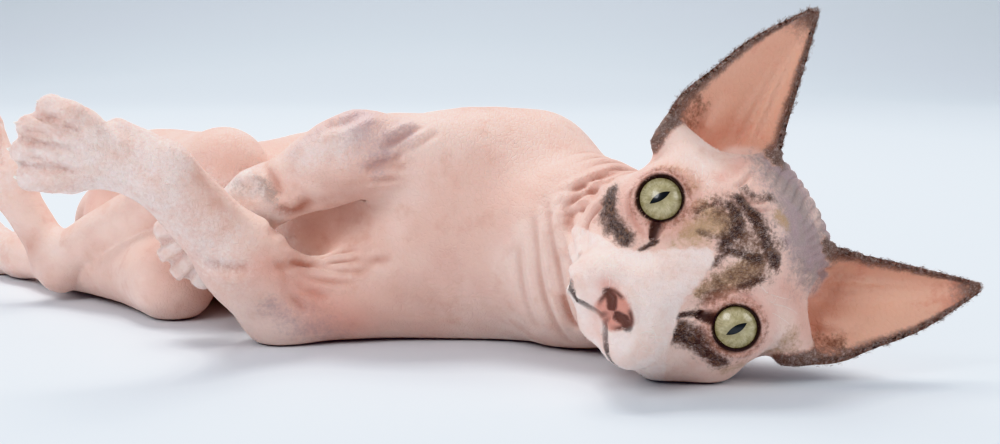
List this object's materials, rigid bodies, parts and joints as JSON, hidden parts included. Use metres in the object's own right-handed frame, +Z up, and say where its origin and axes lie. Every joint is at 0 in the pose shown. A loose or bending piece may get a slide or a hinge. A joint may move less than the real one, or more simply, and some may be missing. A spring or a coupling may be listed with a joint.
{
  "type": "sphynx cat",
  "caption": "Hairless cat lying on its side with one forepaw raised, large upright ears and a tapering tail curled behind it.",
  "frame": {"origin": "on the chest's resting flat, under the ribs, at floor level", "axes": "+X from the tail end to the head, +Y from the belly side to the back, +Z up from the floor"},
  "size_m": [0.3828, 0.3404, 0.1171],
  "materials": {
    "skin": "matt, soft and finely wrinkled",
    "ear_skin": "thin and slightly translucent",
    "eye": "wet gloss"
  },
  "bodies": {
    "root": {"head": "skin", "neck": "skin", "torso": "skin", "left_foreleg": "skin", "right_foreleg": "skin", "left_forepaw": "skin", "right_forepaw": "skin", "left_hindleg": "skin", "right_hindleg": "skin", "left_hindfoot": "skin", "right_hindfoot": "skin", "tail": "skin", "left_ear": "ear_skin", "right_ear": "ear_skin", "left_eye": "eye", "right_eye": "eye"}
  },
  "joints": []
}
